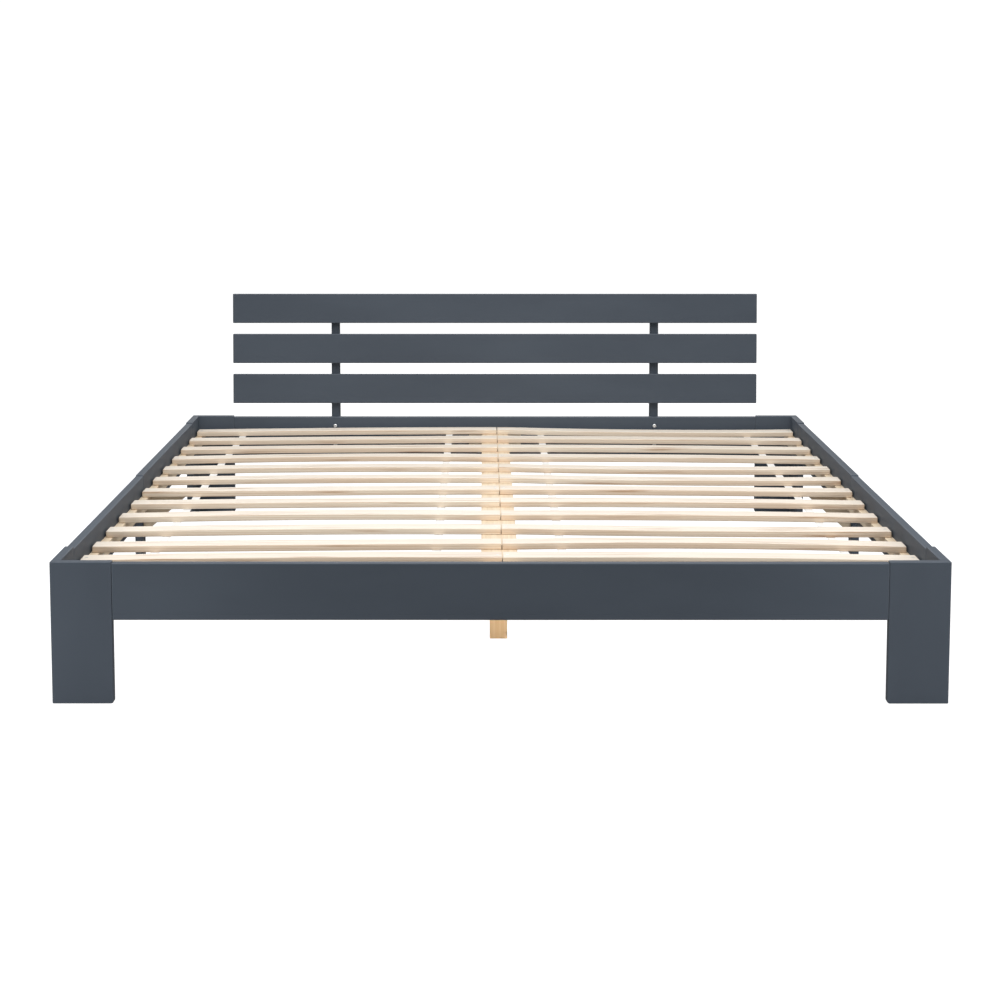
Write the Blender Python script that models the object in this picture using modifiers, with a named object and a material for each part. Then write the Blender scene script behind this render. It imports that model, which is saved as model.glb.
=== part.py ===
"""Painted pine double bed frame with a slatted base and a leaning plank headboard.

Metres, +Z up, +X to the right seen from the foot end, +Y towards the headboard.
The origin is on the floor, in the middle of the bed's footprint.
"""
import math

import bmesh
import bpy

NAME = "pine_bed_frame"

# Overall sizes
CLEAR_WIDTH = 1.840          # between the side rails, for a mattress 1.8 m wide
CLEAR_LENGTH = 2.020         # between the end rails, for a mattress 2.0 m long
BOARD = 0.020                # thickness of the frame boards
GAP = 0.0003                 # left between pieces that touch
EDGE = 0.0025                # round-over on painted boards
FINE_EDGE = 0.0012           # eased edge on the natural wood

# Corner posts: two boards glued to an L
POST_HEIGHT = 0.303
POST_WIDTH = 0.129           # across the end of the bed
POST_DEPTH = 0.154           # along the side of the bed

# End rails and the two halves of each side rail
END_RAIL_TOP = 0.300
END_RAIL_HEIGHT = 0.121
SIDE_RAIL_TOP = 0.2975
SIDE_RAIL_HEIGHT = 0.1115
REAR_HALF_RISE = 0.0025      # the rear halves stand a little proud of the front ones

# Middle legs under the side rails, with their brackets
MID_LEG_LENGTH = 0.045       # along the bed
BRACKET_THICKNESS = 0.022
BRACKET_REACH = 0.115        # from the rail towards the middle of the bed
BRACKET_DROP = 0.1025        # from its top to its point on the leg
BRACKET_SINK = 0.0015        # its top below the ledger's top

# Ledgers that carry the slats' outer ends
LEDGER_WIDTH = 0.020
LEDGER_HEIGHT = 0.029
LEDGER_TOP = 0.250

# Centre beam, its end blocks and its legs
BEAM_WIDTH = 0.081
BEAM_THICKNESS = 0.030
BEAM_TOP = 0.257
BLOCK_WIDTH = 0.160
BLOCK_THICKNESS = 0.030
BLOCK_HEIGHT = 0.050
BLOCK_BELOW_BEAM_TOP = 0.006
CENTRE_LEG = 0.041
CENTRE_LEG_INSET = 0.525     # from an end rail to the middle of the leg near it

# Slats
SLAT_COUNT = 12
SLAT_WIDTH = 0.054
SLAT_THICKNESS = 0.0145
SLAT_END_PLAY = 0.005        # from a slat's outer end to the side rail
SLAT_MEETING = 0.006         # where the two rows meet, from the middle of the bed
SLAT_MEETING_PLAY = 0.002
FIRST_SLAT_PLAY = 0.165      # from the front rail to the first slat, which sits back a little
SECOND_SLAT_PLAY = 0.305     # from the front rail to the second; the rest are evenly spaced
LAST_SLAT_PLAY = 0.022       # from the last slat to the rear rail
# Upward bow of each slat in the middle of its span, in mm, from the foot end
SLAT_BOWS = {"left": (3.0, 0.5, 2.5, 4.0, 1.5, 1.0, 2.5, 3.0, 4.0, 1.5, 0.5, 1.5),
             "right": (3.0, 5.5, -2.0, 2.5, 2.0, 1.0, -3.0, -3.0, 2.0, 1.5, 0.5, -4.0)}
SPAN_CUTS = 6                # straight pieces that a bowed slat is made of

# Tapes stapled below the slats
TAPE_WIDTH = 0.020
TAPE_THICKNESS = 0.001
TAPE_SPREAD = 0.317          # from the middle of a row of slats

# Headboard
LEAN = math.radians(4.0)
PLANK_COUNT = 3
PLANK_OVERHANG = 0.0015      # past each end of the rear rail
PLANK_HEIGHT = 0.091
PLANK_THICKNESS = 0.022
PLANK_SPACE = 0.0335
FIRST_PLANK_RISE = 0.0415    # from the rear rail's top
UPRIGHT_WIDTH = 0.025
UPRIGHT_DEPTH = 0.050        # at the foot, where it stands against the rail
UPRIGHT_PLACE = 0.496        # from the middle of the bed
UPRIGHT_TOP_INSET = 0.016    # below the top plank's top

# Bolts that hold the uprights to the rear rail
BOLT_HEAD_RADIUS = 0.0062
BOLT_HEAD_HEIGHT = 0.0030
BOLT_RADIUS = 0.0030
BOLT_LENGTH = 0.055
BOLT_FROM_TOP = (0.028, 0.088)
BOLT_STEPS = 16

# Worked out from the sizes above
OUT_X = CLEAR_WIDTH / 2 + BOARD
IN_X = CLEAR_WIDTH / 2
TOTAL_LENGTH = CLEAR_LENGTH + 2 * BOARD + GAP + UPRIGHT_DEPTH
FRONT_Y = -TOTAL_LENGTH / 2
FRONT_IN_Y = FRONT_Y + BOARD
REAR_IN_Y = FRONT_IN_Y + CLEAR_LENGTH
REAR_Y = REAR_IN_Y + BOARD
MIDDLE_Y = (FRONT_IN_Y + REAR_IN_Y) / 2
SLAT_PITCH = (CLEAR_LENGTH - SECOND_SLAT_PLAY - LAST_SLAT_PLAY - SLAT_WIDTH) / (SLAT_COUNT - 2)
RAIL_HALF = OUT_X - POST_WIDTH - GAP
ROW_MIDDLE = (IN_X - SLAT_END_PLAY) / 2
BEAM_BOTTOM = BEAM_TOP - BEAM_THICKNESS

PAINT = ("paint", (0.075, 0.088, 0.108), 0.45, 0.0)
PINE = ("pine", (0.79, 0.63, 0.44), 0.60, 0.0)
FABRIC = ("tape", (0.86, 0.86, 0.84), 0.90, 0.0)
ZINC = ("zinc", (0.72, 0.73, 0.74), 0.30, 1.0)


def clear_scene():
    for old in list(bpy.data.objects):
        bpy.data.objects.remove(old, do_unlink=True)


def collection(name):
    group = bpy.data.collections.new(name)
    bpy.context.scene.collection.children.link(group)
    return group


def add_part(piece, finish):
    """Put a piece with the other parts and give it a material of its own."""
    label, colour, roughness, metallic = finish
    material = bpy.data.materials.new(f"{piece.name}_{label}")
    material.use_nodes = True
    shader = material.node_tree.nodes["Principled BSDF"]
    shader.inputs["Base Color"].default_value = (*colour, 1.0)
    shader.inputs["Roughness"].default_value = roughness
    shader.inputs["Metallic"].default_value = metallic
    piece.data.materials.append(material)
    PARTS.objects.link(piece)


def ease_edges(piece, width, segments):
    bevel = piece.modifiers.new("eased_edges", "BEVEL")
    bevel.width = width
    bevel.segments = segments
    bevel.limit_method = "ANGLE"
    bevel.angle_limit = math.radians(30)


def cube_mesh(name, size):
    shape = bmesh.new()
    bmesh.ops.create_cube(shape, size=1.0)
    bmesh.ops.scale(shape, vec=size, verts=shape.verts)
    mesh = bpy.data.meshes.new(name)
    shape.to_mesh(mesh)
    shape.free()
    return mesh


def board(name, low, high, finish, edge=EDGE, segments=2):
    """A straight piece of wood between two opposite corners."""
    size = [b - a for a, b in zip(low, high)]
    piece = bpy.data.objects.new(name, cube_mesh(name, size))
    piece.location = [(a + b) / 2 for a, b in zip(low, high)]
    add_part(piece, finish)
    ease_edges(piece, edge, segments)
    return piece


def flat_solid(name, points, thickness):
    """The mesh of a flat outline with a thickness, with clean flat faces."""
    curve = bpy.data.curves.new(name, "CURVE")
    curve.dimensions = "2D"
    curve.fill_mode = "BOTH"
    curve.extrude = thickness / 2
    spline = curve.splines.new("POLY")
    spline.points.add(len(points) - 1)
    for knot, (u, v) in zip(spline.points, points):
        knot.co = (u, v, 0.0, 1.0)
    spline.use_cyclic_u = True
    outline = bpy.data.objects.new(name + "_outline", curve)
    PARTS.objects.link(outline)
    view = bpy.context.evaluated_depsgraph_get()
    mesh = bpy.data.meshes.new_from_object(outline.evaluated_get(view))
    bpy.data.objects.remove(outline, do_unlink=True)
    return mesh


def outline_piece(name, points, thickness, finish, turn=(0, 0, 0), place=(0, 0, 0), edge=EDGE):
    """A flat outline with a thickness, turned and placed, with its outer corners eased."""
    mesh = flat_solid(name, points, thickness)
    shape = bmesh.new()
    shape.from_mesh(mesh)
    bmesh.ops.remove_doubles(shape, verts=shape.verts, dist=0.00005)
    bmesh.ops.dissolve_limit(shape, angle_limit=math.radians(1), verts=shape.verts,
                             edges=shape.edges)
    bmesh.ops.recalc_face_normals(shape, faces=shape.faces)
    corners = [e for e in shape.edges if e.calc_face_angle_signed(0.0) > math.radians(30)]
    bmesh.ops.bevel(shape, geom=corners, offset=edge, segments=1, affect="EDGES", profile=0.5)
    shape.to_mesh(mesh)
    shape.free()
    mesh.name = name
    piece = bpy.data.objects.new(name, mesh)
    piece.rotation_euler = [math.radians(angle) for angle in turn]
    piece.location = place
    add_part(piece, finish)
    return piece


def bolt_hole(x, z):
    """A cutter along Y for one headboard bolt."""
    shape = bmesh.new()
    bmesh.ops.create_cone(shape, cap_ends=True, segments=BOLT_STEPS, radius1=BOLT_RADIUS + GAP,
                          radius2=BOLT_RADIUS + GAP, depth=2 * (BOLT_LENGTH + GAP))
    mesh = bpy.data.meshes.new("bolt_hole")
    shape.to_mesh(mesh)
    shape.free()
    cutter = bpy.data.objects.new("bolt_hole", mesh)
    cutter.rotation_euler = (math.radians(90), 0, 0)
    cutter.location = (x, REAR_IN_Y - GAP, z)
    cutter.hide_render = True
    cutter.display_type = "WIRE"
    CUTTERS.objects.link(cutter)
    return cutter


def cut_holes(piece, cutters):
    for cutter in cutters:
        cut = piece.modifiers.new("bolt_hole", "BOOLEAN")
        cut.operation = "DIFFERENCE"
        cut.solver = "EXACT"
        cut.object = cutter


def corner_posts():
    """Four L posts, each with its corner at the outside of the bed."""
    for end, sign_y, corner_y in (("front", 1, FRONT_Y), ("rear", -1, REAR_Y)):
        for side, sign_x in (("left", -1), ("right", 1)):
            outline = [(0, 0), (POST_WIDTH, 0), (POST_WIDTH, BOARD), (BOARD, BOARD),
                       (BOARD, POST_DEPTH), (0, POST_DEPTH)]
            points = [(sign_x * (OUT_X - u), corner_y + sign_y * v) for u, v in outline]
            outline_piece(f"{end}_{side}_post", points, POST_HEIGHT, PAINT,
                          place=(0, 0, POST_HEIGHT / 2))


def end_rails(holes):
    """The rails between the posts at the foot and at the head."""
    low = END_RAIL_TOP - END_RAIL_HEIGHT
    board("front_rail", (-RAIL_HALF, FRONT_Y, low), (RAIL_HALF, FRONT_IN_Y, END_RAIL_TOP), PAINT)
    rear = board("rear_rail", (-RAIL_HALF, REAR_IN_Y, low), (RAIL_HALF, REAR_Y, END_RAIL_TOP),
                 PAINT)
    cut_holes(rear, holes)


def side_rails():
    """Each side rail is a front and a rear half that meet over the middle leg."""
    low = SIDE_RAIL_TOP - SIDE_RAIL_HEIGHT
    halves = (("front", FRONT_Y + POST_DEPTH + GAP, MIDDLE_Y - GAP, 0.0),
              ("rear", MIDDLE_Y + GAP, REAR_Y - POST_DEPTH - GAP, REAR_HALF_RISE))
    for side, sign in (("left", -1), ("right", 1)):
        x_low, x_high = sorted((sign * IN_X, sign * OUT_X))
        for end, start, stop, rise in halves:
            board(f"{side}_side_rail_{end}", (x_low, start, low),
                  (x_high, stop, SIDE_RAIL_TOP + rise), PAINT)


def middle_legs():
    """A painted leg below each side rail and the wooden bracket that braces it."""
    rail_bottom = SIDE_RAIL_TOP - SIDE_RAIL_HEIGHT
    top = LEDGER_TOP - BRACKET_SINK
    face = IN_X - GAP
    notch_x = IN_X - GAP - LEDGER_WIDTH - GAP
    notch_z = LEDGER_TOP - LEDGER_HEIGHT - GAP
    outline = [(face, top - BRACKET_DROP), (face, notch_z), (notch_x, notch_z), (notch_x, top),
               (face - BRACKET_REACH, top)]
    for side, sign in (("left", -1), ("right", 1)):
        x_low, x_high = sorted((sign * IN_X, sign * OUT_X))
        board(f"{side}_middle_leg", (x_low, MIDDLE_Y - MID_LEG_LENGTH / 2, 0),
              (x_high, MIDDLE_Y + MID_LEG_LENGTH / 2, rail_bottom - GAP), PAINT)
        points = [(sign * x, z) for x, z in outline]
        outline_piece(f"{side}_leg_bracket", points, BRACKET_THICKNESS, PINE, turn=(90, 0, 0),
                      place=(0, MIDDLE_Y, 0), edge=FINE_EDGE)


def ledgers():
    for side, sign in (("left", -1), ("right", 1)):
        x_low, x_high = sorted((sign * (IN_X - GAP), sign * (IN_X - GAP - LEDGER_WIDTH)))
        board(f"{side}_ledger", (x_low, FRONT_IN_Y + GAP, LEDGER_TOP - LEDGER_HEIGHT),
              (x_high, REAR_IN_Y - GAP, LEDGER_TOP), PINE, FINE_EDGE, 1)


def centre_support():
    """The beam below the slats' inner ends, its notched end blocks and its legs."""
    half = BEAM_WIDTH / 2
    board("centre_beam", (-half, FRONT_IN_Y + GAP, BEAM_BOTTOM), (half, REAR_IN_Y - GAP, BEAM_TOP),
          PINE, FINE_EDGE, 1)
    top = BEAM_TOP - BLOCK_BELOW_BEAM_TOP
    notch = half + GAP
    floor = BEAM_BOTTOM - GAP
    wing = BLOCK_WIDTH / 2
    outline = [(-wing, top - BLOCK_HEIGHT), (wing, top - BLOCK_HEIGHT), (wing, top), (notch, top),
               (notch, floor), (-notch, floor), (-notch, top), (-wing, top)]
    offset = GAP + BLOCK_THICKNESS / 2
    for end, y in (("front", FRONT_IN_Y + offset), ("rear", REAR_IN_Y - offset)):
        outline_piece(f"{end}_beam_block", outline, BLOCK_THICKNESS, PINE, turn=(90, 0, 0),
                      place=(0, y, 0), edge=FINE_EDGE)
    leg_places = {"front": FRONT_IN_Y + CENTRE_LEG_INSET, "rear": REAR_IN_Y - CENTRE_LEG_INSET}
    for end, y in leg_places.items():
        board(f"{end}_centre_leg", (-CENTRE_LEG / 2, y - CENTRE_LEG / 2, 0),
              (CENTRE_LEG / 2, y + CENTRE_LEG / 2, BEAM_BOTTOM - GAP), PINE, FINE_EDGE, 1)


def slat_start(number):
    """Y of the foot-side edge of a slat; number 0 is the one at the foot."""
    if number == 0:
        return FRONT_IN_Y + FIRST_SLAT_PLAY
    return FRONT_IN_Y + SECOND_SLAT_PLAY + (number - 1) * SLAT_PITCH


def slat_cambers():
    """The upward bow of each slat in metres, by side and number."""
    return {(side, number): bows[number % len(bows)] / 1000
            for side, bows in SLAT_BOWS.items() for number in range(SLAT_COUNT)}


def slat_underside(x, camber):
    """Height of a slat's underside: from the ledger up to the beam, bowed between them."""
    ledger_edge = IN_X - GAP - LEDGER_WIDTH
    beam_edge = BEAM_WIDTH / 2
    share = (ledger_edge - abs(x)) / (ledger_edge - beam_edge)
    share = min(max(share, 0.0), 1.0)
    bow = camber * 4 * share * (1 - share)
    return LEDGER_TOP + GAP + share * (BEAM_TOP - LEDGER_TOP) + bow


def span_places(sign):
    """Places across the bed where a bowed slat bends."""
    ledger_edge = IN_X - GAP - LEDGER_WIDTH
    beam_edge = BEAM_WIDTH / 2
    step = (ledger_edge - beam_edge) / SPAN_CUTS
    return [sign * (beam_edge + step * cut) for cut in range(SPAN_CUTS + 1)]


def sliced_strip(name, low, high, axis, places, thickness, underside, finish):
    """A thin box cut across at the places given, with each cut lifted to the underside there."""
    shape = bmesh.new()
    bmesh.ops.create_cube(shape, size=1.0)
    size = (high[0] - low[0], high[1] - low[1], thickness)
    bmesh.ops.scale(shape, vec=size, verts=shape.verts)
    middle = ((low[0] + high[0]) / 2, (low[1] + high[1]) / 2, thickness / 2)
    bmesh.ops.translate(shape, vec=middle, verts=shape.verts)
    normal = (1, 0, 0) if axis == 0 else (0, 1, 0)
    for place in places:
        point = (place, 0, 0) if axis == 0 else (0, place, 0)
        everything = shape.verts[:] + shape.edges[:] + shape.faces[:]
        bmesh.ops.bisect_plane(shape, geom=everything, plane_co=point, plane_no=normal)
    for vert in shape.verts:
        vert.co.z += underside(vert.co.x, vert.co.y)
    mesh = bpy.data.meshes.new(name)
    shape.to_mesh(mesh)
    shape.free()
    piece = bpy.data.objects.new(name, mesh)
    add_part(piece, finish)
    return piece


def slats(cambers):
    """Two rows of slats that meet over the centre beam."""
    rows = {"left": (-1, -IN_X + SLAT_END_PLAY, SLAT_MEETING - SLAT_MEETING_PLAY / 2),
            "right": (1, SLAT_MEETING + SLAT_MEETING_PLAY / 2, IN_X - SLAT_END_PLAY)}
    for number in range(SLAT_COUNT):
        start = slat_start(number)
        for side, (sign, x_low, x_high) in rows.items():
            camber = cambers[side, number]
            slat = sliced_strip(f"{side}_slat_{number + 1:02d}", (x_low, start),
                                (x_high, start + SLAT_WIDTH), 0, span_places(sign),
                                SLAT_THICKNESS, lambda x, y, c=camber: slat_underside(x, c), PINE)
            ease_edges(slat, FINE_EDGE, 1)


def tapes(cambers):
    """Four woven tapes below the slats that keep them at their distance."""
    edges = []
    for number in range(SLAT_COUNT):
        edges += [slat_start(number), slat_start(number) + SLAT_WIDTH]
    inner, outer = ROW_MIDDLE - TAPE_SPREAD, ROW_MIDDLE + TAPE_SPREAD
    places = {"left_outer": -outer, "left_inner": -inner, "right_inner": inner,
              "right_outer": outer}
    for label, middle in places.items():
        side = label.split("_")[0]

        def underside(x, y):
            nearest = min(range(SLAT_COUNT), key=lambda n: abs(slat_start(n) + SLAT_WIDTH / 2 - y))
            return slat_underside(x, cambers[side, nearest]) - GAP - TAPE_THICKNESS

        sliced_strip(f"{label}_tape", (middle - TAPE_WIDTH / 2, edges[0]),
                     (middle + TAPE_WIDTH / 2, edges[-1]), 1, edges[1:-1], TAPE_THICKNESS,
                     underside, FABRIC)


def lean_point(along, out):
    """Y and Z on the headboard: along its slope from the rail's top, and out of its back face."""
    y = REAR_Y + GAP + along * math.sin(LEAN) - out * math.cos(LEAN)
    z = END_RAIL_TOP + along * math.cos(LEAN) + out * math.sin(LEAN)
    return y, z


def headboard_planks():
    size = (2 * (RAIL_HALF + PLANK_OVERHANG), PLANK_THICKNESS, PLANK_HEIGHT)
    for number, label in zip(range(PLANK_COUNT), ("bottom", "middle", "top")):
        along = FIRST_PLANK_RISE + PLANK_HEIGHT / 2 + number * (PLANK_HEIGHT + PLANK_SPACE)
        y, z = lean_point(along, GAP + PLANK_THICKNESS / 2)
        name = f"{label}_headboard_plank"
        plank = bpy.data.objects.new(name, cube_mesh(name, size))
        plank.rotation_euler = (-LEAN, 0, 0)
        plank.location = (0, y, z)
        add_part(plank, PAINT)
        ease_edges(plank, EDGE, 2)


def headboard_uprights(holes):
    """Uprights behind the planks: plumb at the back, leaning in front above the rail."""
    reach = FIRST_PLANK_RISE + PLANK_COUNT * PLANK_HEIGHT + (PLANK_COUNT - 1) * PLANK_SPACE
    top_y, top_z = lean_point(reach - UPRIGHT_TOP_INSET, 0.0)
    front, back = REAR_Y + GAP, REAR_Y + GAP + UPRIGHT_DEPTH
    foot = END_RAIL_TOP - END_RAIL_HEIGHT
    outline = [(front, foot), (back, foot), (back, top_z), (top_y, top_z), (front, END_RAIL_TOP)]
    for side, sign in (("left", -1), ("right", 1)):
        upright = outline_piece(f"{side}_headboard_upright", outline, UPRIGHT_WIDTH, PAINT,
                                turn=(90, 0, 90), place=(sign * UPRIGHT_PLACE, 0, 0))
        cut_holes(upright, [hole for hole in holes if hole.location.x * sign > 0])


def headboard_bolts():
    """A round-headed bolt at each hole, with its head on the rail's inner face."""
    head, shank = BOLT_HEAD_RADIUS, BOLT_RADIUS
    profile = [(0, BOLT_HEAD_HEIGHT), (0.55 * head, BOLT_HEAD_HEIGHT),
               (head, 0.45 * BOLT_HEAD_HEIGHT), (head, 0), (shank, 0), (shank, -BOLT_LENGTH),
               (0, -BOLT_LENGTH)]
    for side, sign in (("left", -1), ("right", 1)):
        for label, drop in zip(("upper", "lower"), BOLT_FROM_TOP):
            name = f"{side}_{label}_headboard_bolt"
            mesh = bpy.data.meshes.new(name)
            points = [(r, 0.0, z) for r, z in profile]
            mesh.from_pydata(points, [(i, i + 1) for i in range(len(points) - 1)], [])
            bolt = bpy.data.objects.new(name, mesh)
            bolt.rotation_euler = (math.radians(90), 0, 0)
            bolt.location = (sign * UPRIGHT_PLACE, REAR_IN_Y - GAP, END_RAIL_TOP - drop)
            add_part(bolt, ZINC)
            turned = bolt.modifiers.new("turned", "SCREW")
            turned.axis = "Z"
            turned.steps = BOLT_STEPS
            turned.render_steps = BOLT_STEPS
            turned.use_merge_vertices = True
            turned.merge_threshold = 0.00001


clear_scene()
PARTS = collection(NAME)
CUTTERS = collection("cutters")
bolt_holes = [bolt_hole(sign * UPRIGHT_PLACE, END_RAIL_TOP - drop)
              for sign in (-1, 1) for drop in BOLT_FROM_TOP]
corner_posts()
end_rails(bolt_holes)
side_rails()
middle_legs()
ledgers()
centre_support()
bows = slat_cambers()
slats(bows)
tapes(bows)
headboard_planks()
headboard_uprights(bolt_holes)
headboard_bolts()
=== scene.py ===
"""The looks of a painted pine double bed frame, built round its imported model."""
import math
import random

import bmesh
import bpy
from mathutils import Matrix, Vector


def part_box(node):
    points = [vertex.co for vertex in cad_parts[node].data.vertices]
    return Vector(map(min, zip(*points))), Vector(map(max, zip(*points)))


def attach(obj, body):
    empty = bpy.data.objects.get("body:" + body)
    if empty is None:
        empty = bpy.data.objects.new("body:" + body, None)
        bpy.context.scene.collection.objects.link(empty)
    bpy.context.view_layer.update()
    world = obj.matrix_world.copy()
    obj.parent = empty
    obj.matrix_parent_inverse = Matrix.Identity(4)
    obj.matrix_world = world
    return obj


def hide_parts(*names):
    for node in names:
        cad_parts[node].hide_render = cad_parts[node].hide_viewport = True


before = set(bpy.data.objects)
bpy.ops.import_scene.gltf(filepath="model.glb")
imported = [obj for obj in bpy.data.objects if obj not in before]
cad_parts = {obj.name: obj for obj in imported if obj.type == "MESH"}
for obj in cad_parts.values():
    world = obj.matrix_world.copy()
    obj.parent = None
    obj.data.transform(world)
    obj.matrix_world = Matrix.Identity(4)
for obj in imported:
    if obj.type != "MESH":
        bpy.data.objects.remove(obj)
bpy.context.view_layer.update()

BODY = "root"
ALONG = {"x": 0, "y": 1, "z": 2}

# Edges, in metres
PAINTED_EDGE = 0.0022
PLANED_EDGE = 0.0014
SLAT_EDGE = 0.0018
SLAT_END_EDGE = 0.0012       # around a slat's cut ends
TOE_ROUND = 0.0065           # the inner lower corner of each corner post
EDGE_STEPS = 3               # faces across an eased edge
TOE_STEPS = 6
SEAM = 0.0004                # open line between glued or touching boards

# Slats and tapes
SLAT_BENDS = 40              # sections along one bowed slat
SCREWED_SLATS = (1, 3, 6, 9, 12)
LEDGER_SCREW = 0.0105        # from a slat's outer end to its screw
MEETING_SCREW = 0.010        # from a slat's inner end to its screw
TAPE_THICKNESS = 0.001
TAPE_SAG = 0.0012            # between two slats
TAPE_STEPS = 6               # parts of one sagging stretch
TAPE_INSET = 0.0005          # from a slat's edge to where the tape lies flat

# Headboard
PLANK_LEVELS = ("bottom", "middle", "top")
LEAN = math.radians(4.0)
BORE_RADIUS = 0.0045         # holes in the uprights for the planks' screws
BORE_DEPTH = 0.007
PLANK_SCREW_HEIGHTS = (0.27, 0.70)   # shares of a plank's height

# Fasteners
BOLT_SHANK = 0.003
BOLT_SIDES = 24
BOLT_DOME = ((1.0, 0.0), (1.0, 0.30), (0.93, 0.62), (0.80, 0.85), (0.62, 0.98), (0.50, 1.0))
SCREW_RADIUS = 0.0033
SCREW_CROWN = 0.0003
SCREW_SIDES = 12
STAPLE_WIDTH = 0.011
STAPLE_WIRE = 0.0007
STAPLE_LEG = 0.004
STAPLE_SKEW = 0.12           # the most that a staple is turned, in radians
LEDGER_SCREWS = 8
FIRST_LEDGER_SCREW = 0.35    # from a ledger's end to its first screw, in screw spacings
BLOCK_SCREW_SHARE = 0.72     # of the way from the middle to a beam block's end

# Tolerances for finding points and faces
SAME_PLACE = 1e-6
WELD = 0.00002               # between a CAD mesh's loose corners
ON_FACE = 0.00005            # from a board's flat face
SAME_SECTION = 0.0005        # along a slat
NARROW_FACE = 0.0004         # the area under which an edge face is shaded smooth
NARROW_STEEL = 0.000004      # the same for a bolt

# Colours, linear
PAINT_BASE = (0.073, 0.089, 0.112)
PAINT_DARK = (0.069, 0.084, 0.106, 1.0)
PAINT_PALE = (0.077, 0.094, 0.118, 1.0)
PAINT_KNOT = (0.050, 0.061, 0.077, 1.0)
# Paler paint on eased edges: partly paint thinned by wear, partly a painted highlight
PAINT_RUBBED_AND_HIGHLIT = (0.108, 0.126, 0.152, 1.0)
# Pine: pale, warm, late wood and knot
SLAT_COLOURS = ((0.85, 0.75, 0.61), (0.79, 0.64, 0.49), (0.60, 0.40, 0.26), (0.26, 0.13, 0.06))
FRAME_COLOURS = ((0.82, 0.70, 0.53), (0.77, 0.63, 0.46), (0.60, 0.41, 0.24), (0.22, 0.10, 0.045))
LEG_COLOURS = ((0.85, 0.60, 0.34), (0.78, 0.51, 0.26), (0.60, 0.35, 0.16), (0.22, 0.10, 0.045))
# Painted highlight: the white that faces looking up are blended towards
TOP_HIGHLIGHT_WHITE = (0.83, 0.80, 0.75, 1.0)
TAPE_COLOURS = ((0.76, 0.76, 0.75, 1.0), (0.95, 0.95, 0.94, 1.0))
ZINC_COLOURS = ((0.74, 0.75, 0.77, 1.0), (0.92, 0.92, 0.90, 1.0))

# Figure of the wood and weave
PITH_AWAY = (0.035, 0.11)    # from a board's middle to the pith, in metres
TRUNK_LENGTH = 40
KNOT_BEND = 0.011            # how far rings swing round a knot, in metres
TONE_SPREAD = 1.1            # how much one board may be warmer than another
TOP_HIGHLIGHT_SHARE = 0.68          # how much paler the up-facing faces are painted: a painted highlight
PITCH_STRENGTH = 2.2         # of the pitch streaks, beside the rings
THREADS = (720.0, 1150.0, 720.0)    # along, across and through a tape, in each metre


# ---------------------------------------------------------------- nodes

def node(tree, kind, values=None, **settings):
    """A node with its settings, and its inputs set or linked."""
    made = tree.nodes.new(kind)
    for key, value in settings.items():
        setattr(made, key, value)
    for key, value in (values or {}).items():
        if isinstance(value, bpy.types.NodeSocket):
            tree.links.new(value, made.inputs[key])
        else:
            made.inputs[key].default_value = value
    return made


def calc(tree, operation, first, second=0.0, third=0.0):
    values = {0: first, 1: second, 2: third}
    return node(tree, "ShaderNodeMath", values, operation=operation).outputs[0]


def vector_calc(tree, operation, first, second=(0.0, 0.0, 0.0)):
    made = node(tree, "ShaderNodeVectorMath", {0: first, 1: second}, operation=operation)
    return made.outputs["Value" if operation == "LENGTH" else "Vector"]


def stretch(tree, vector, scale):
    return vector_calc(tree, "MULTIPLY", vector, scale)


def noise(tree, vector, scale, detail=2.0, roughness=0.5):
    values = {"Vector": vector, "Scale": scale, "Detail": detail, "Roughness": roughness}
    return node(tree, "ShaderNodeTexNoise", values).outputs[0]


def ramp(tree, value, low, high, start=0.0, stop=1.0, smooth=True):
    """Lead a value from low..high over to start..stop, and hold it at the ends."""
    values = {"Value": value, 1: low, 2: high, 3: start, 4: stop}
    kind = "SMOOTHSTEP" if smooth else "LINEAR"
    return node(tree, "ShaderNodeMapRange", values, interpolation_type=kind).outputs[0]


def blend(tree, share, first, second):
    values = {0: share, 6: first, 7: second}
    return node(tree, "ShaderNodeMix", values, data_type="RGBA", blend_type="MIX").outputs[2]


def named_sockets(tree, inputs, outputs):
    """Give a tree inputs (label, kind, value) and outputs (label, kind)."""
    for label, kind in outputs:
        tree.interface.new_socket(label, in_out="OUTPUT", socket_type=kind)
    for label, kind, value in inputs:
        socket = tree.interface.new_socket(label, in_out="INPUT", socket_type=kind)
        if value is not None:
            socket.default_value = value
    return node(tree, "NodeGroupInput").outputs, node(tree, "NodeGroupOutput").inputs


def shader_group(name, inputs, outputs):
    tree = bpy.data.node_groups.new(name, "ShaderNodeTree")
    return tree, *named_sockets(tree, inputs, outputs)


def geometry_tree(name, inputs):
    tree = bpy.data.node_groups.new(name, "GeometryNodeTree")
    return tree, *named_sockets(tree, inputs, [("Geometry", "NodeSocketGeometry")])


def dress(tree, geometry, material, out):
    """End a tree: real geometry with its material."""
    real = node(tree, "GeometryNodeRealizeInstances", {"Geometry": geometry})
    dressed = node(tree, "GeometryNodeSetMaterial", {"Geometry": real.outputs[0],
                                                     "Material": material})
    tree.links.new(dressed.outputs[0], out[0])


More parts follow.
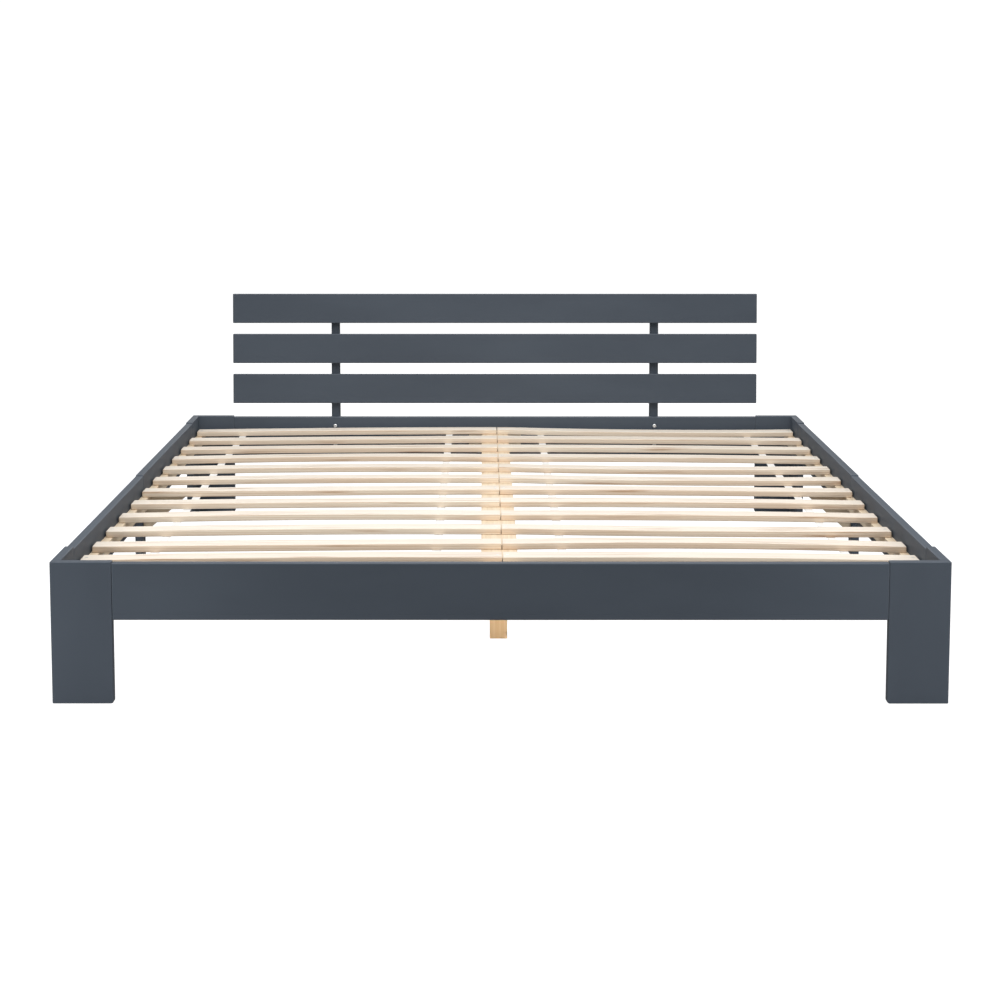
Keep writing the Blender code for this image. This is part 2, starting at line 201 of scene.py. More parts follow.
def wood_figure():
    """Rings, streaks, fibres, knots and pitch streaks of a sawn board, in the board's own metres."""
    number, vector = "NodeSocketFloat", "NodeSocketVector"
    tree, given, out = shader_group(
        "wood_figure",
        [("Board", vector, None), ("Ring Width", number, 0.005), ("Wander", number, 0.012),
         ("Knot Spacing", number, 0.16), ("Knot Size", number, 0.006),
         ("Knot Share", number, 0.5)],
        [("Rings", number), ("Streaks", number), ("Fibres", number), ("Knots", number),
         ("Pitch", number)])
    board = given["Board"]
    slow = noise(tree, stretch(tree, board, (0.9, 5.0, 5.0)), 1.0, 1.5)
    wander = calc(tree, "MULTIPLY", calc(tree, "SUBTRACT", slow, 0.5), given["Wander"])

    # Knots run through a board, so their cells are long across its thickness
    spacing = node(tree, "ShaderNodeCombineXYZ", {axis: given["Knot Spacing"] for axis in range(3)})
    cells = vector_calc(tree, "DIVIDE", stretch(tree, board, (1.0, 1.0, 0.08)), spacing.outputs[0])
    spots = node(tree, "ShaderNodeTexVoronoi", {"Vector": cells, "Scale": 1.0})
    away = calc(tree, "MULTIPLY", spots.outputs["Distance"], given["Knot Spacing"])
    chance = node(tree, "ShaderNodeSeparateColor", {0: spots.outputs["Color"]}).outputs
    present = calc(tree, "LESS_THAN", chance[0], given["Knot Share"])
    radius = calc(tree, "MULTIPLY", given["Knot Size"], calc(tree, "ADD", chance[1], 0.45))
    radii_away = calc(tree, "DIVIDE", away, radius)
    core = ramp(tree, radii_away, 0.75, 1.1, 1.0, 0.0)
    halo = ramp(tree, radii_away, 0.9, 4.5, 1.0, 0.0)
    bend = calc(tree, "MULTIPLY", calc(tree, "MULTIPLY", halo, present), KNOT_BEND)

    # Rings are circles round the pith, which lies beside or below the board
    parts = node(tree, "ShaderNodeSeparateXYZ", {0: board}).outputs
    across = calc(tree, "ADD", parts[1], calc(tree, "ADD", wander, bend))
    depth = calc(tree, "ADD", parts[2], calc(tree, "MULTIPLY", wander, 0.6))
    flat = node(tree, "ShaderNodeCombineXYZ", {0: 0.0, 1: across, 2: depth}).outputs[0]
    reach = vector_calc(tree, "LENGTH", flat)
    count = calc(tree, "DIVIDE", reach, given["Ring Width"])
    uneven = noise(tree, stretch(tree, board, (2.0, 60.0, 60.0)), 1.0, 2.0)
    turn = calc(tree, "FRACT", calc(tree, "ADD", count, calc(tree, "MULTIPLY", uneven, 0.7)))
    late = ramp(tree, turn, 0.35, 0.92)
    late = calc(tree, "MULTIPLY", late, ramp(tree, turn, 0.94, 1.0, 1.0, 0.0))

    streaks = noise(tree, stretch(tree, board, (2.0, 75.0, 75.0)), 1.0, 3.0, 0.6)
    fibres = noise(tree, stretch(tree, board, (14.0, 900.0, 900.0)), 1.0, 2.0, 0.6)
    lens = noise(tree, stretch(tree, board, (4.5, 130.0, 130.0)), 1.0, 1.0, 0.4)
    faint, strong = ramp(tree, lens, 0.60, 0.70, 0.0, 0.45), ramp(tree, lens, 0.70, 0.75, 0.0, 0.5)
    pitch = calc(tree, "ADD", faint, strong)
    for label, value in (("Rings", late), ("Streaks", streaks), ("Fibres", fibres),
                         ("Knots", calc(tree, "MULTIPLY", core, present)), ("Pitch", pitch)):
        tree.links.new(value, out[label])
    return tree


def pine_colour(figure):
    """Colour, roughness and relief of bare pine, smooth from the plane, from a board's figure; faces
    that look up can get a painted highlight.
    """
    number, vector, colour = "NodeSocketFloat", "NodeSocketVector", "NodeSocketColor"
    tree, given, out = shader_group(
        "bare_pine",
        [("Board", vector, None), ("Tone", number, 0.5), ("Pale", colour, None),
         ("Warm", colour, None), ("Late Wood", colour, None), ("Knot", colour, None),
         ("Ring Strength", number, 0.5), ("Knot Share", number, 0.5), ("Planed", number, 0.0)],
        [("Colour", colour), ("Roughness", number), ("Relief", number)])
    wood = node(tree, "ShaderNodeGroup", {}, node_tree=figure)
    tree.links.new(given["Board"], wood.inputs["Board"])
    tree.links.new(given["Knot Share"], wood.inputs["Knot Share"])
    figure_out = wood.outputs
    tone = calc(tree, "MULTIPLY", calc(tree, "SUBTRACT", given["Tone"], 0.5), TONE_SPREAD)
    warm = calc(tree, "ADD", ramp(tree, figure_out["Streaks"], 0.40, 0.62), tone)
    warm = node(tree, "ShaderNodeClamp", {0: warm}).outputs[0]
    base = blend(tree, warm, given["Pale"], given["Warm"])
    lines = calc(tree, "MULTIPLY", figure_out["Rings"], given["Ring Strength"])
    base = blend(tree, lines, base, given["Late Wood"])
    fine = ramp(tree, figure_out["Fibres"], 0.3, 0.75, 0.0, 0.16)
    base = blend(tree, fine, base, given["Late Wood"])
    # Painted highlight: up-facing faces blend towards a paler colour
    top_highlight = calc(tree, "MULTIPLY", given["Planed"], TOP_HIGHLIGHT_SHARE)
    base = blend(tree, top_highlight, base, blend(tree, 0.65, given["Pale"], TOP_HIGHLIGHT_WHITE))
    stain = blend(tree, 0.35, given["Late Wood"], given["Knot"])
    streaking = calc(tree, "MULTIPLY", given["Ring Strength"], PITCH_STRENGTH)
    base = blend(tree, calc(tree, "MULTIPLY", figure_out["Pitch"], streaking), base, stain)
    base = blend(tree, calc(tree, "MULTIPLY", figure_out["Knots"], 0.7), base, given["Knot"])
    rough = calc(tree, "ADD", 0.52, calc(tree, "MULTIPLY", figure_out["Fibres"], 0.2))
    height = calc(tree, "ADD", calc(tree, "MULTIPLY", figure_out["Rings"], 0.6),
                  calc(tree, "MULTIPLY", figure_out["Fibres"], 0.5))
    for label, value in (("Colour", base), ("Roughness", rough), ("Relief", height)):
        tree.links.new(value, out[label])
    return tree


# ---------------------------------------------------------------- materials

def new_material(name, slot_colour):
    material = bpy.data.materials.new(name)
    material.use_nodes = True
    material.diffuse_color = (*slot_colour, 1.0)
    tree = material.node_tree
    return material, tree, tree.nodes["Principled BSDF"]


def board_place(tree):
    """Where a point lies on its own board: along, across and through, in metres."""
    return node(tree, "ShaderNodeAttribute", attribute_name="board").outputs["Vector"]


def connect(tree, shader, **sockets):
    for label, value in sockets.items():
        tree.links.new(value, shader.inputs[label.replace("_", " ")])


def bare_pine(name, colours, ring_strength, knot_share, highlit_top=False):
    """Pine with no finish; colours are pale, warm, late wood and knot. Where asked, faces that look
    up are painted paler, a painted highlight.
    """
    material, tree, shader = new_material(name, colours[0])
    wood = node(tree, "ShaderNodeGroup", {}, node_tree=PINE_GROUP)
    tone = node(tree, "ShaderNodeAttribute", attribute_name="tone").outputs["Fac"]
    tree.links.new(board_place(tree), wood.inputs["Board"])
    tree.links.new(tone, wood.inputs["Tone"])
    for label, value in zip(("Pale", "Warm", "Late Wood", "Knot"), colours):
        wood.inputs[label].default_value = (*value, 1.0)
    wood.inputs["Ring Strength"].default_value = ring_strength
    wood.inputs["Knot Share"].default_value = knot_share
    if highlit_top:
        # Painted highlight: the up-facing share of the true normal lightens the top faces
        face = node(tree, "ShaderNodeNewGeometry").outputs["True Normal"]
        up = node(tree, "ShaderNodeSeparateXYZ", {0: face}).outputs[2]
        tree.links.new(ramp(tree, up, 0.6, 0.85), wood.inputs["Planed"])
    bump = node(tree, "ShaderNodeBump", {"Height": wood.outputs["Relief"], "Strength": 0.35,
                                         "Distance": 0.0002})
    connect(tree, shader, Base_Color=wood.outputs["Colour"], Normal=bump.outputs[0],
            Roughness=wood.outputs["Roughness"])
    shader.inputs["Specular IOR Level"].default_value = 0.35
    return material


def painted_pine():
    """Two coats of satin blue-grey paint; the rings show only as a faint relief. Eased edges are
    painted paler, partly paint thinned by wear and partly a painted highlight.
    """
    material, tree, shader = new_material("blue_grey_paint", PAINT_BASE)
    place = board_place(tree)
    wood = node(tree, "ShaderNodeGroup", {"Board": place, "Ring Width": 0.007,
                                          "Knot Spacing": 0.3, "Knot Share": 0.35},
                node_tree=FIGURE_GROUP)
    cloudy = noise(tree, stretch(tree, place, (2.5, 7.0, 7.0)), 1.0, 3.0)
    colour = blend(tree, ramp(tree, cloudy, 0.3, 0.7), PAINT_DARK, PAINT_PALE)
    colour = blend(tree, calc(tree, "MULTIPLY", wood.outputs["Knots"], 0.25), colour, PAINT_KNOT)
    # Eased edges painted paler in patches: partly paint thinned by wear, partly a painted highlight
    # on the rounded edges
    edge_wear_and_highlight = node(tree, "ShaderNodeAttribute", attribute_name="edge").outputs["Fac"]
    patchy = ramp(tree, noise(tree, stretch(tree, place, (9.0, 60.0, 60.0)), 1.0, 3.0), 0.35, 0.7)
    rubbed_and_highlit = calc(tree, "MULTIPLY", edge_wear_and_highlight, calc(tree, "MULTIPLY_ADD", patchy, 0.35, 0.4))
    colour = blend(tree, rubbed_and_highlit, colour, PAINT_RUBBED_AND_HIGHLIT)
    peel = noise(tree, stretch(tree, place, (500.0, 900.0, 900.0)), 1.0, 2.0)
    height = calc(tree, "ADD", calc(tree, "MULTIPLY", wood.outputs["Rings"], 0.55),
                  calc(tree, "MULTIPLY", peel, 0.35))
    height = calc(tree, "ADD", height, calc(tree, "MULTIPLY", wood.outputs["Fibres"], 0.25))
    bump = node(tree, "ShaderNodeBump", {"Height": height, "Strength": 0.25,
                                         "Distance": 0.00015})
    rough = calc(tree, "MULTIPLY_ADD", peel, 0.12, 0.50)
    connect(tree, shader, Base_Color=colour, Roughness=rough, Normal=bump.outputs[0])
    shader.inputs["Specular IOR Level"].default_value = 0.22
    return material


def woven_tape():
    """White polyester tape in a plain weave."""
    material, tree, shader = new_material("woven_tape", (0.86, 0.86, 0.84))
    place = stretch(tree, board_place(tree), THREADS)
    parts = node(tree, "ShaderNodeSeparateXYZ", {0: place}).outputs
    warp = calc(tree, "SINE", calc(tree, "MULTIPLY", parts[0], math.pi))
    weft = calc(tree, "SINE", calc(tree, "MULTIPLY", parts[1], math.pi))
    weave = ramp(tree, calc(tree, "MULTIPLY", warp, weft), -1.0, 1.0, smooth=False)
    fuzz = noise(tree, place, 3.0, 2.0)
    pale = calc(tree, "MULTIPLY_ADD", fuzz, 0.3, calc(tree, "MULTIPLY", weave, 0.5))
    colour = blend(tree, pale, *TAPE_COLOURS)
    bump = node(tree, "ShaderNodeBump", {"Height": weave, "Strength": 0.6, "Distance": 0.0002})
    rough = calc(tree, "MULTIPLY_ADD", fuzz, 0.1, 0.82)
    connect(tree, shader, Base_Color=colour, Roughness=rough, Normal=bump.outputs[0])
    return material


def zinc_plate():
    """Bright zinc plating with the faint cloudiness of a plated screw."""
    material, tree, shader = new_material("zinc_plate", (0.72, 0.73, 0.74))
    place = node(tree, "ShaderNodeTexCoord").outputs["Object"]
    cloud = noise(tree, place, 420.0, 3.0)
    colour = blend(tree, ramp(tree, cloud, 0.3, 0.7), *ZINC_COLOURS)
    rough = calc(tree, "MULTIPLY_ADD", noise(tree, place, 1600.0, 2.0), 0.18, 0.22)
    connect(tree, shader, Base_Color=colour, Roughness=rough)
    shader.inputs["Metallic"].default_value = 1.0
    return material


FIGURE_GROUP = wood_figure()
PINE_GROUP = pine_colour(FIGURE_GROUP)
PAINT = painted_pine()
# Its tops carry a painted highlight
SLAT_PINE = bare_pine("slat_pine", SLAT_COLOURS, 0.42, 0.0, highlit_top=True)
FRAME_PINE = bare_pine("frame_pine", FRAME_COLOURS, 0.14, 0.35)
LEG_PINE = bare_pine("leg_pine", LEG_COLOURS, 0.4, 0.3)
TAPE = woven_tape()
ZINC = zinc_plate()


# ---------------------------------------------------------------- boards

def finish_piece(piece, material, slot, *nodes):
    """Give a piece its material, let it ride on the frame and stand for its CAD nodes."""
    if material is not None:
        piece.data.materials.clear()
        piece.data.materials.append(material)
    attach(piece, BODY)
    if nodes:
        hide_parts(*nodes)
    return piece


def put(name, data):
    """Add an object with this mesh, light or camera to the scene."""
    made = bpy.data.objects.new(name, data)
    bpy.context.scene.collection.objects.link(made)
    return made


def as_mesh(shape, name, outwards=False):
    """Turn a shape into a mesh, with its faces turned outwards where asked."""
    mesh = bpy.data.meshes.new(name)
    if outwards:
        bmesh.ops.recalc_face_normals(shape, faces=shape.faces)
    shape.to_mesh(mesh)
    shape.free()
    return mesh


def ring_solid(name, rings):
    """Join rings that have the same number of points into a closed skin; rings are point lists."""
    points = [point for ring in rings for point in ring]
    size = len(rings[0])
    faces = [tuple(reversed(range(size)))]
    for number in range(len(rings) - 1):
        for corner in range(size):
            after = (corner + 1) % size
            low, high = number * size, (number + 1) * size
            faces.append((low + corner, low + after, high + after, high + corner))
    faces.append(tuple(range(len(points) - size, len(points))))
    mesh = bpy.data.meshes.new(name)
    mesh.from_pydata(points, [], faces)
    shape = bmesh.new()
    shape.from_mesh(mesh)
    bmesh.ops.recalc_face_normals(shape, faces=shape.faces)
    shape.to_mesh(mesh)
    shape.free()
    return mesh


def store(mesh, name, kind, values):
    attribute = mesh.attributes.new(name, kind, "POINT")
    if kind == "FLOAT_VECTOR":
        attribute.data.foreach_set("vector", [c for value in values for c in value])
    else:
        attribute.data.foreach_set("value", values)


def grain_start(name):
    """Where in the trunk a board was sawn: its own place in the figure, the same every run."""
    draw = random.Random(name)
    pith = draw.uniform(*PITH_AWAY)
    angle = draw.uniform(-0.5, 0.5)
    up_trunk = draw.uniform(0, TRUNK_LENGTH)
    return Vector((up_trunk, pith * math.sin(angle), pith * math.cos(angle)))


def mark_board(mesh, name, along, wide):
    """Store where each point lies on its board, and the board's own tone."""
    deep = ({"x", "y", "z"} - {along, wide}).pop()
    order = [ALONG[along], ALONG[wide], ALONG[deep]]
    points = [v.co for v in mesh.vertices]
    middle = [(min(p[i] for p in points) + max(p[i] for p in points)) / 2 for i in range(3)]
    start = grain_start(name)
    places = [start + Vector([p[i] - middle[i] for i in order]) for p in points]
    store(mesh, "board", "FLOAT_VECTOR", places)
    tone = random.Random(name + "_tone").uniform(0.15, 0.85)
    store(mesh, "tone", "FLOAT", [tone] * len(points))


def mark_edges(mesh, low, high):
    """Store 1 on the points of the eased edges and 0 on the flat faces' corners."""
    def off_faces(p):
        return min(min(abs(p[i] - low[i]), abs(p[i] - high[i])) for i in range(3)) > ON_FACE

    store(mesh, "edge", "FLOAT", [float(off_faces(v.co)) for v in mesh.vertices])


def smooth_edges(mesh):
    """Shade the narrow faces of the eased edges smooth and leave the broad faces flat."""
    for face in mesh.polygons:
        face.use_smooth = face.area < NARROW_FACE


def add_block(shape, low, high):
    """Add a box with sharp edges and give its corners."""
    size = [b - a for a, b in zip(low, high)]
    middle = Vector([(a + b) / 2 for a, b in zip(low, high)])
    place = Matrix.Translation(middle) @ Matrix.Diagonal((*size, 1.0))
    return bmesh.ops.create_cube(shape, size=1.0, matrix=place)["verts"]


def add_box(shape, low, high, edge, rounded=None):
    """A box with eased edges; rounded is a test for edges that get a larger round, with its size."""
    verts = set(add_block(shape, low, high))
    if rounded:
        test, radius = rounded
        chosen = [e for e in shape.edges if set(e.verts) <= verts and test(e)]
        done = bmesh.ops.bevel(shape, geom=chosen, offset=radius, segments=TOE_STEPS,
                               affect="EDGES", profile=0.5)
        verts |= set(done["verts"])
        verts = {v for v in verts if v.is_valid}
    sharp = [e for e in shape.edges if set(e.verts) <= verts
             and e.calc_face_angle(0.0) > math.radians(30)]
    bmesh.ops.bevel(shape, geom=sharp, offset=edge, segments=EDGE_STEPS, affect="EDGES",
                    profile=0.5)


def board_object(name, shape, along, wide, material, slot, nodes, low, high):
    """A finished piece from the shape of a board that fills low to high."""
    mesh = as_mesh(shape, name, outwards=True)
    smooth_edges(mesh)
    mark_board(mesh, name, along, wide)
    mark_edges(mesh, low, high)
    return finish_piece(put(name, mesh), material, slot, *nodes)


def straight_board(node_name, along, wide, material, slot, edge):
    """A straight board in the place of a CAD node."""
    low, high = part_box(node_name)
    shape = bmesh.new()
    add_box(shape, low, high, edge)
    return board_object(node_name + "_board", shape, along, wide, material, slot, [node_name],
                        low, high)


def post_board(node_name, part, wide, low, high, rounded=None):
    """One of a corner post's two boards."""
    shape = bmesh.new()
    add_box(shape, low, high, PAINTED_EDGE, rounded)
    board_object(f"{node_name}_{part}_board", shape, "z", wide, PAINT, "grey_paint", [node_name],
                 low, high)


def corner_post(end, side):
    """Two boards glued to an L: the end board covers the side board's end grain."""
    node_name = f"{end}_{side}_post"
    low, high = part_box(node_name)
    rail_low, rail_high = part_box(f"{side}_side_rail_front")
    board = rail_high.x - rail_low.x
    outer_x, inner_x = (low.x, high.x) if side == "left" else (high.x, low.x)
    outer_y, far_y = (low.y, high.y) if end == "front" else (high.y, low.y)
    inward = 1 if end == "front" else -1
    seam_y = outer_y + inward * board
    end_y = sorted((outer_y, seam_y))
    side_x = sorted((outer_x, outer_x + (board if side == "left" else -board)))
    side_y = sorted((seam_y + inward * SEAM, far_y))

    def inner_toe(edge):
        ends = [v.co for v in edge.verts]
        return all(abs(p.x - inner_x) < SAME_PLACE and abs(p.z - low.z) < SAME_PLACE for p in ends)

    post_board(node_name, "end", "x", Vector((low.x, end_y[0], low.z)),
               Vector((high.x, end_y[1], high.z)), (inner_toe, TOE_ROUND))
    post_board(node_name, "side", "y", Vector((side_x[0], side_y[0], low.z)),
               Vector((side_x[1], side_y[1], high.z)))


def from_cad(node_name, suffix, along, wide, material, slot):
    """A merged copy of a CAD node with its own grain, for shapes that are not straight boards."""
    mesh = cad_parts[node_name].data.copy()
    shape = bmesh.new()
    shape.from_mesh(mesh)
    bmesh.ops.remove_doubles(shape, verts=shape.verts, dist=WELD)
    bmesh.ops.dissolve_limit(shape, angle_limit=math.radians(0.5), verts=shape.verts,
                             edges=shape.edges)
    shape.to_mesh(mesh)
    shape.free()
    for face in mesh.polygons:
        face.use_smooth = False
    mark_board(mesh, node_name, along, wide)
    store(mesh, "edge", "FLOAT", [0.0] * len(mesh.vertices))
    return finish_piece(put(node_name + suffix, mesh), material, slot, node_name)


def headboard_plank(level):
    """A plank that leans back with the uprights; its own size follows from its CAD box."""
    node_name = f"{level}_headboard_plank"
    low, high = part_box(node_name)
    size, middle = high - low, (low + high) / 2
    cos, sin = math.cos(LEAN), math.sin(LEAN)
    spread = cos * cos - sin * sin
    thick = (size.y * cos - size.z * sin) / spread
    tall = (size.z * cos - size.y * sin) / spread
    half = Vector((size.x, thick, tall)) / 2
    shape = bmesh.new()
    add_box(shape, -half, half, PAINTED_EDGE)
    piece = board_object(node_name + "_board", shape, "x", "z", None, "grey_paint", [], -half, half)
    piece.data.materials.append(PAINT)
    piece.data.transform(Matrix.Translation(middle) @ Matrix.Rotation(-LEAN, 4, "X"))
    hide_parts(node_name)
    return piece


# ---------------------------------------------------------------- slats

def bowed_slat_tree():
    """A strip, smooth from the plane, with rounded edges that rises from the ledger to the beam,
    with a bow.
    """
    number = "NodeSocketFloat"
    tree, given, out = geometry_tree("bowed_slat", [
        ("Outer End", number, -0.91), ("Inner End", number, 0.0), ("Ledger Edge", number, -0.9),
        ("Beam Edge", number, -0.04), ("Side Height", number, 0.25), ("Rise", number, 0.009),
        ("Bow", number, 0.003), ("Middle Y", number, 0.0), ("Width", number, 0.054),
        ("Thickness", number, 0.0125), ("Edge Radius", number, 0.003),
        ("Bends", "NodeSocketInt", SLAT_BENDS), ("Trunk Place", "NodeSocketVector", None),
        ("Tone", number, 0.5), ("Material", "NodeSocketMaterial", None)])
    start = node(tree, "ShaderNodeCombineXYZ", {0: given["Outer End"], 1: given["Middle Y"]})
    stop = node(tree, "ShaderNodeCombineXYZ", {0: given["Inner End"], 1: given["Middle Y"]})
    line = node(tree, "GeometryNodeCurvePrimitiveLine", {"Start": start.outputs[0],
                                                         "End": stop.outputs[0]})
    spine = node(tree, "GeometryNodeResampleCurve", {"Curve": line.outputs[0],
                                                     "Count": given["Bends"]})
    x = node(tree, "ShaderNodeSeparateXYZ",
             {0: node(tree, "GeometryNodeInputPosition").outputs[0]}).outputs[0]
    span = calc(tree, "SUBTRACT", given["Beam Edge"], given["Ledger Edge"])
    share = calc(tree, "DIVIDE", calc(tree, "SUBTRACT", x, given["Ledger Edge"]), span)
    share = node(tree, "ShaderNodeClamp", {0: share}).outputs[0]
    hump = calc(tree, "MULTIPLY", calc(tree, "MULTIPLY", share, calc(tree, "SUBTRACT", 1.0, share)),
                calc(tree, "MULTIPLY", given["Bow"], 4.0))
    lift = calc(tree, "ADD", hump, calc(tree, "MULTIPLY_ADD", share, given["Rise"],
                                        given["Side Height"]))
    lift = calc(tree, "MULTIPLY_ADD", given["Thickness"], 0.5, lift)
    raised = node(tree, "GeometryNodeSetPosition", {
        "Geometry": spine.outputs[0],
        "Offset": node(tree, "ShaderNodeCombineXYZ", {2: lift}).outputs[0]})
    section = node(tree, "GeometryNodeCurvePrimitiveQuadrilateral", {
        "Width": given["Width"], "Height": given["Thickness"]})
    rounded = node(tree, "GeometryNodeFilletCurve", {
        "Curve": section.outputs[0], "Radius": given["Edge Radius"], "Count": 4}, mode="POLY")
    strip = node(tree, "GeometryNodeCurveToMesh", {
        "Curve": raised.outputs[0], "Profile Curve": rounded.outputs[0], "Fill Caps": True})
    place = node(tree, "ShaderNodeSeparateXYZ",
                 {0: node(tree, "GeometryNodeInputPosition").outputs[0]}).outputs
    local = node(tree, "ShaderNodeCombineXYZ", {
        0: place[0], 1: calc(tree, "SUBTRACT", place[1], given["Middle Y"]),
        2: calc(tree, "SUBTRACT", place[2], given["Side Height"])}).outputs[0]
    board = node(tree, "ShaderNodeVectorMath", {0: local, 1: given["Trunk Place"]}, operation="ADD")
    marked = node(tree, "GeometryNodeStoreNamedAttribute", {
        "Geometry": strip.outputs[0], "Name": "board", "Value": board.outputs[0]},
        data_type="FLOAT_VECTOR", domain="POINT")
    toned = node(tree, "GeometryNodeStoreNamedAttribute", {
        "Geometry": marked.outputs[0], "Name": "tone", "Value": given["Tone"]},
        data_type="FLOAT", domain="POINT")
    dress(tree, toned.outputs[0], given["Material"], out)
    return tree


def grown(name, tree, values, source=None):
    """Run a Geometry Nodes tree with named values and keep its result as a plain mesh."""
    carrier = put(name + "_maker", source or bpy.data.meshes.new(name + "_start"))
    maker = carrier.modifiers.new("maker", "NODES")
    maker.node_group = tree
    sockets = {s.name: s.identifier for s in tree.interface.items_tree
               if s.item_type == "SOCKET" and s.in_out == "INPUT"}
    for label, value in values.items():
        maker[sockets[label]] = value
    view = bpy.context.evaluated_depsgraph_get()
    made = bpy.data.meshes.new_from_object(carrier.evaluated_get(view))
    made.name = name
    bpy.data.objects.remove(carrier, do_unlink=True)
    return put(name, made)


def slat_heights(node_name, x):
    """The lowest and the highest point of a CAD slat on the section nearest to x."""
    points = [v.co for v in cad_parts[node_name].data.vertices]
    nearest = min((p.x for p in points), key=lambda at: abs(at - x))
    heights = [p.z for p in points if abs(p.x - nearest) < SAME_SECTION]
    return min(heights), max(heights)


def slat_ends(node_name):
    """The x of a slat's outer end and of its inner end."""
    low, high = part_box(node_name)
    return (low.x, high.x) if node_name.startswith("left") else (high.x, low.x)


def slat(tree, node_name, ledger_edge, beam_edge):
    """One bowed slat, with the same rise and bow as its CAD node."""
    low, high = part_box(node_name)
    outer, inner = slat_ends(node_name)
    middle_x = (ledger_edge + beam_edge) / 2
    side_z, top_z = slat_heights(node_name, ledger_edge)
    beam_z = slat_heights(node_name, beam_edge)[0]
    bow = slat_heights(node_name, middle_x)[0] - (side_z + beam_z) / 2
    draw = random.Random(node_name)
    SPANS[node_name] = (ledger_edge, beam_edge, side_z, beam_z - side_z, bow)
    piece = grown(node_name + "_wood", tree, {
        "Outer End": outer, "Inner End": inner, "Ledger Edge": ledger_edge,
        "Beam Edge": beam_edge, "Side Height": side_z, "Rise": beam_z - side_z, "Bow": bow,
        "Middle Y": (low.y + high.y) / 2, "Width": high.y - low.y,
        "Thickness": top_z - side_z, "Edge Radius": SLAT_EDGE,
        "Trunk Place": grain_start(node_name), "Tone": draw.uniform(0.0, 1.0),
        "Material": SLAT_PINE})
    shape = bmesh.new()
    shape.from_mesh(piece.data)
    bmesh.ops.recalc_face_normals(shape, faces=shape.faces)
    rims = [e for e in shape.edges if e.calc_face_angle(0.0) > math.radians(60)]
    bmesh.ops.bevel(shape, geom=rims, offset=SLAT_END_EDGE, segments=2, affect="EDGES",
                    profile=0.5)
    shape.to_mesh(piece.data)
    shape.free()
    smooth_edges(piece.data)
    return finish_piece(piece, None, "pine", node_name)


# ---------------------------------------------------------------- tapes

def ribbon(name, path, middle_x, width, thickness):
    """A flat woven band whose middle line goes through points of y and z."""
    half, rim = width / 2, thickness / 2
    section = [(-half, 0), (-half + rim * 0.4, rim * 0.8), (-half + rim, rim), (half - rim, rim),
               (half - rim * 0.4, rim * 0.8), (half, 0), (half - rim * 0.4, -rim * 0.8),
               (half - rim, -rim), (-half + rim, -rim), (-half + rim * 0.4, -rim * 0.8)]
    rings = []
    places = []
    start = grain_start(name)
    gone = 0.0
    for number, (y, z) in enumerate(path):
        before, after = path[max(number - 1, 0)], path[min(number + 1, len(path) - 1)]
        lean = math.atan2(after[1] - before[1], after[0] - before[0])
        gone += math.dist(path[number - 1], path[number]) if number else 0.0
        rings.append([(middle_x + across, y - up * math.sin(lean), z + up * math.cos(lean))
                      for across, up in section])
        places += [(start.x + gone, across, up) for across, up in section]
    mesh = ring_solid(name, rings)
    store(mesh, "board", "FLOAT_VECTOR", places)
    for face in mesh.polygons:
        face.use_smooth = True
    return put(name, mesh)


def span_height(node_name, x):
    """Height of a built slat's underside at x."""
    ledger_edge, beam_edge, side_z, rise, bow = SPANS[node_name]
    share = (x - ledger_edge) / (beam_edge - ledger_edge)
    share = min(max(share, 0.0), 1.0)
    return side_z + rise * share + 4 * bow * share * (1 - share)


def row_of_slats(name):
    """The slats on the side that a name starts with, from the foot end."""
    side = name.split("_")[0]
    return [f"{side}_slat_{number:02d}" for number in range(1, SLAT_COUNT + 1)]


def tape(node_name):
    """One tape under a row of slats, pulled flat under each and sagging a little between."""
    low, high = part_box(node_name)
    middle_x = (low.x + high.x) / 2
    path = []
    for slat_node in row_of_slats(node_name):
        slat_low, slat_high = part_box(slat_node)
        z = span_height(slat_node, middle_x) - SEAM - TAPE_THICKNESS / 2
        if path:
            last_y, last_z = path[-1]
            gap = slat_low.y - last_y
            for step in range(1, TAPE_STEPS):
                share = step / TAPE_STEPS
                sag = 4 * TAPE_SAG * share * (1 - share)
                path.append((last_y + gap * share, last_z + (z - last_z) * share - sag))
        path += [(slat_low.y + TAPE_INSET, z), ((slat_low.y + slat_high.y) / 2, z),
                 (slat_high.y - TAPE_INSET, z)]
    piece = ribbon(node_name + "_webbing", path, middle_x, high.x - low.x, TAPE_THICKNESS)
    return finish_piece(piece, TAPE, "woven_tape", node_name)


# ---------------------------------------------------------------- fasteners

def circle(radius, z, count, turn=0.0):
    """Points on a circle, counter-clockwise."""
    angles = [turn + 2 * math.pi * step / count for step in range(count)]
    return [(radius * math.cos(a), radius * math.sin(a), z) for a in angles]


def hexagon(apothem, z, count):
    """Points on a hexagon's outline, so that it joins a circle of the same count."""
    points = []
    for step in range(count):
        angle = 2 * math.pi * step / count
        off_flat = (angle % (math.pi / 3)) - math.pi / 6
        radius = apothem / math.cos(off_flat)
        points.append((radius * math.cos(angle), radius * math.sin(angle), z))
    return points


def cross(arm, width, z):
    """Twelve points round a plus sign, to join a circle of twelve."""
    a, w = arm, width
    outline = [(w, w), (w, a), (-w, a), (-w, w), (-a, w), (-a, -w), (-w, -w), (-w, -a), (w, -a),
               (w, -w), (a, -w), (a, w)]
    return [(x, y, z) for x, y in outline]


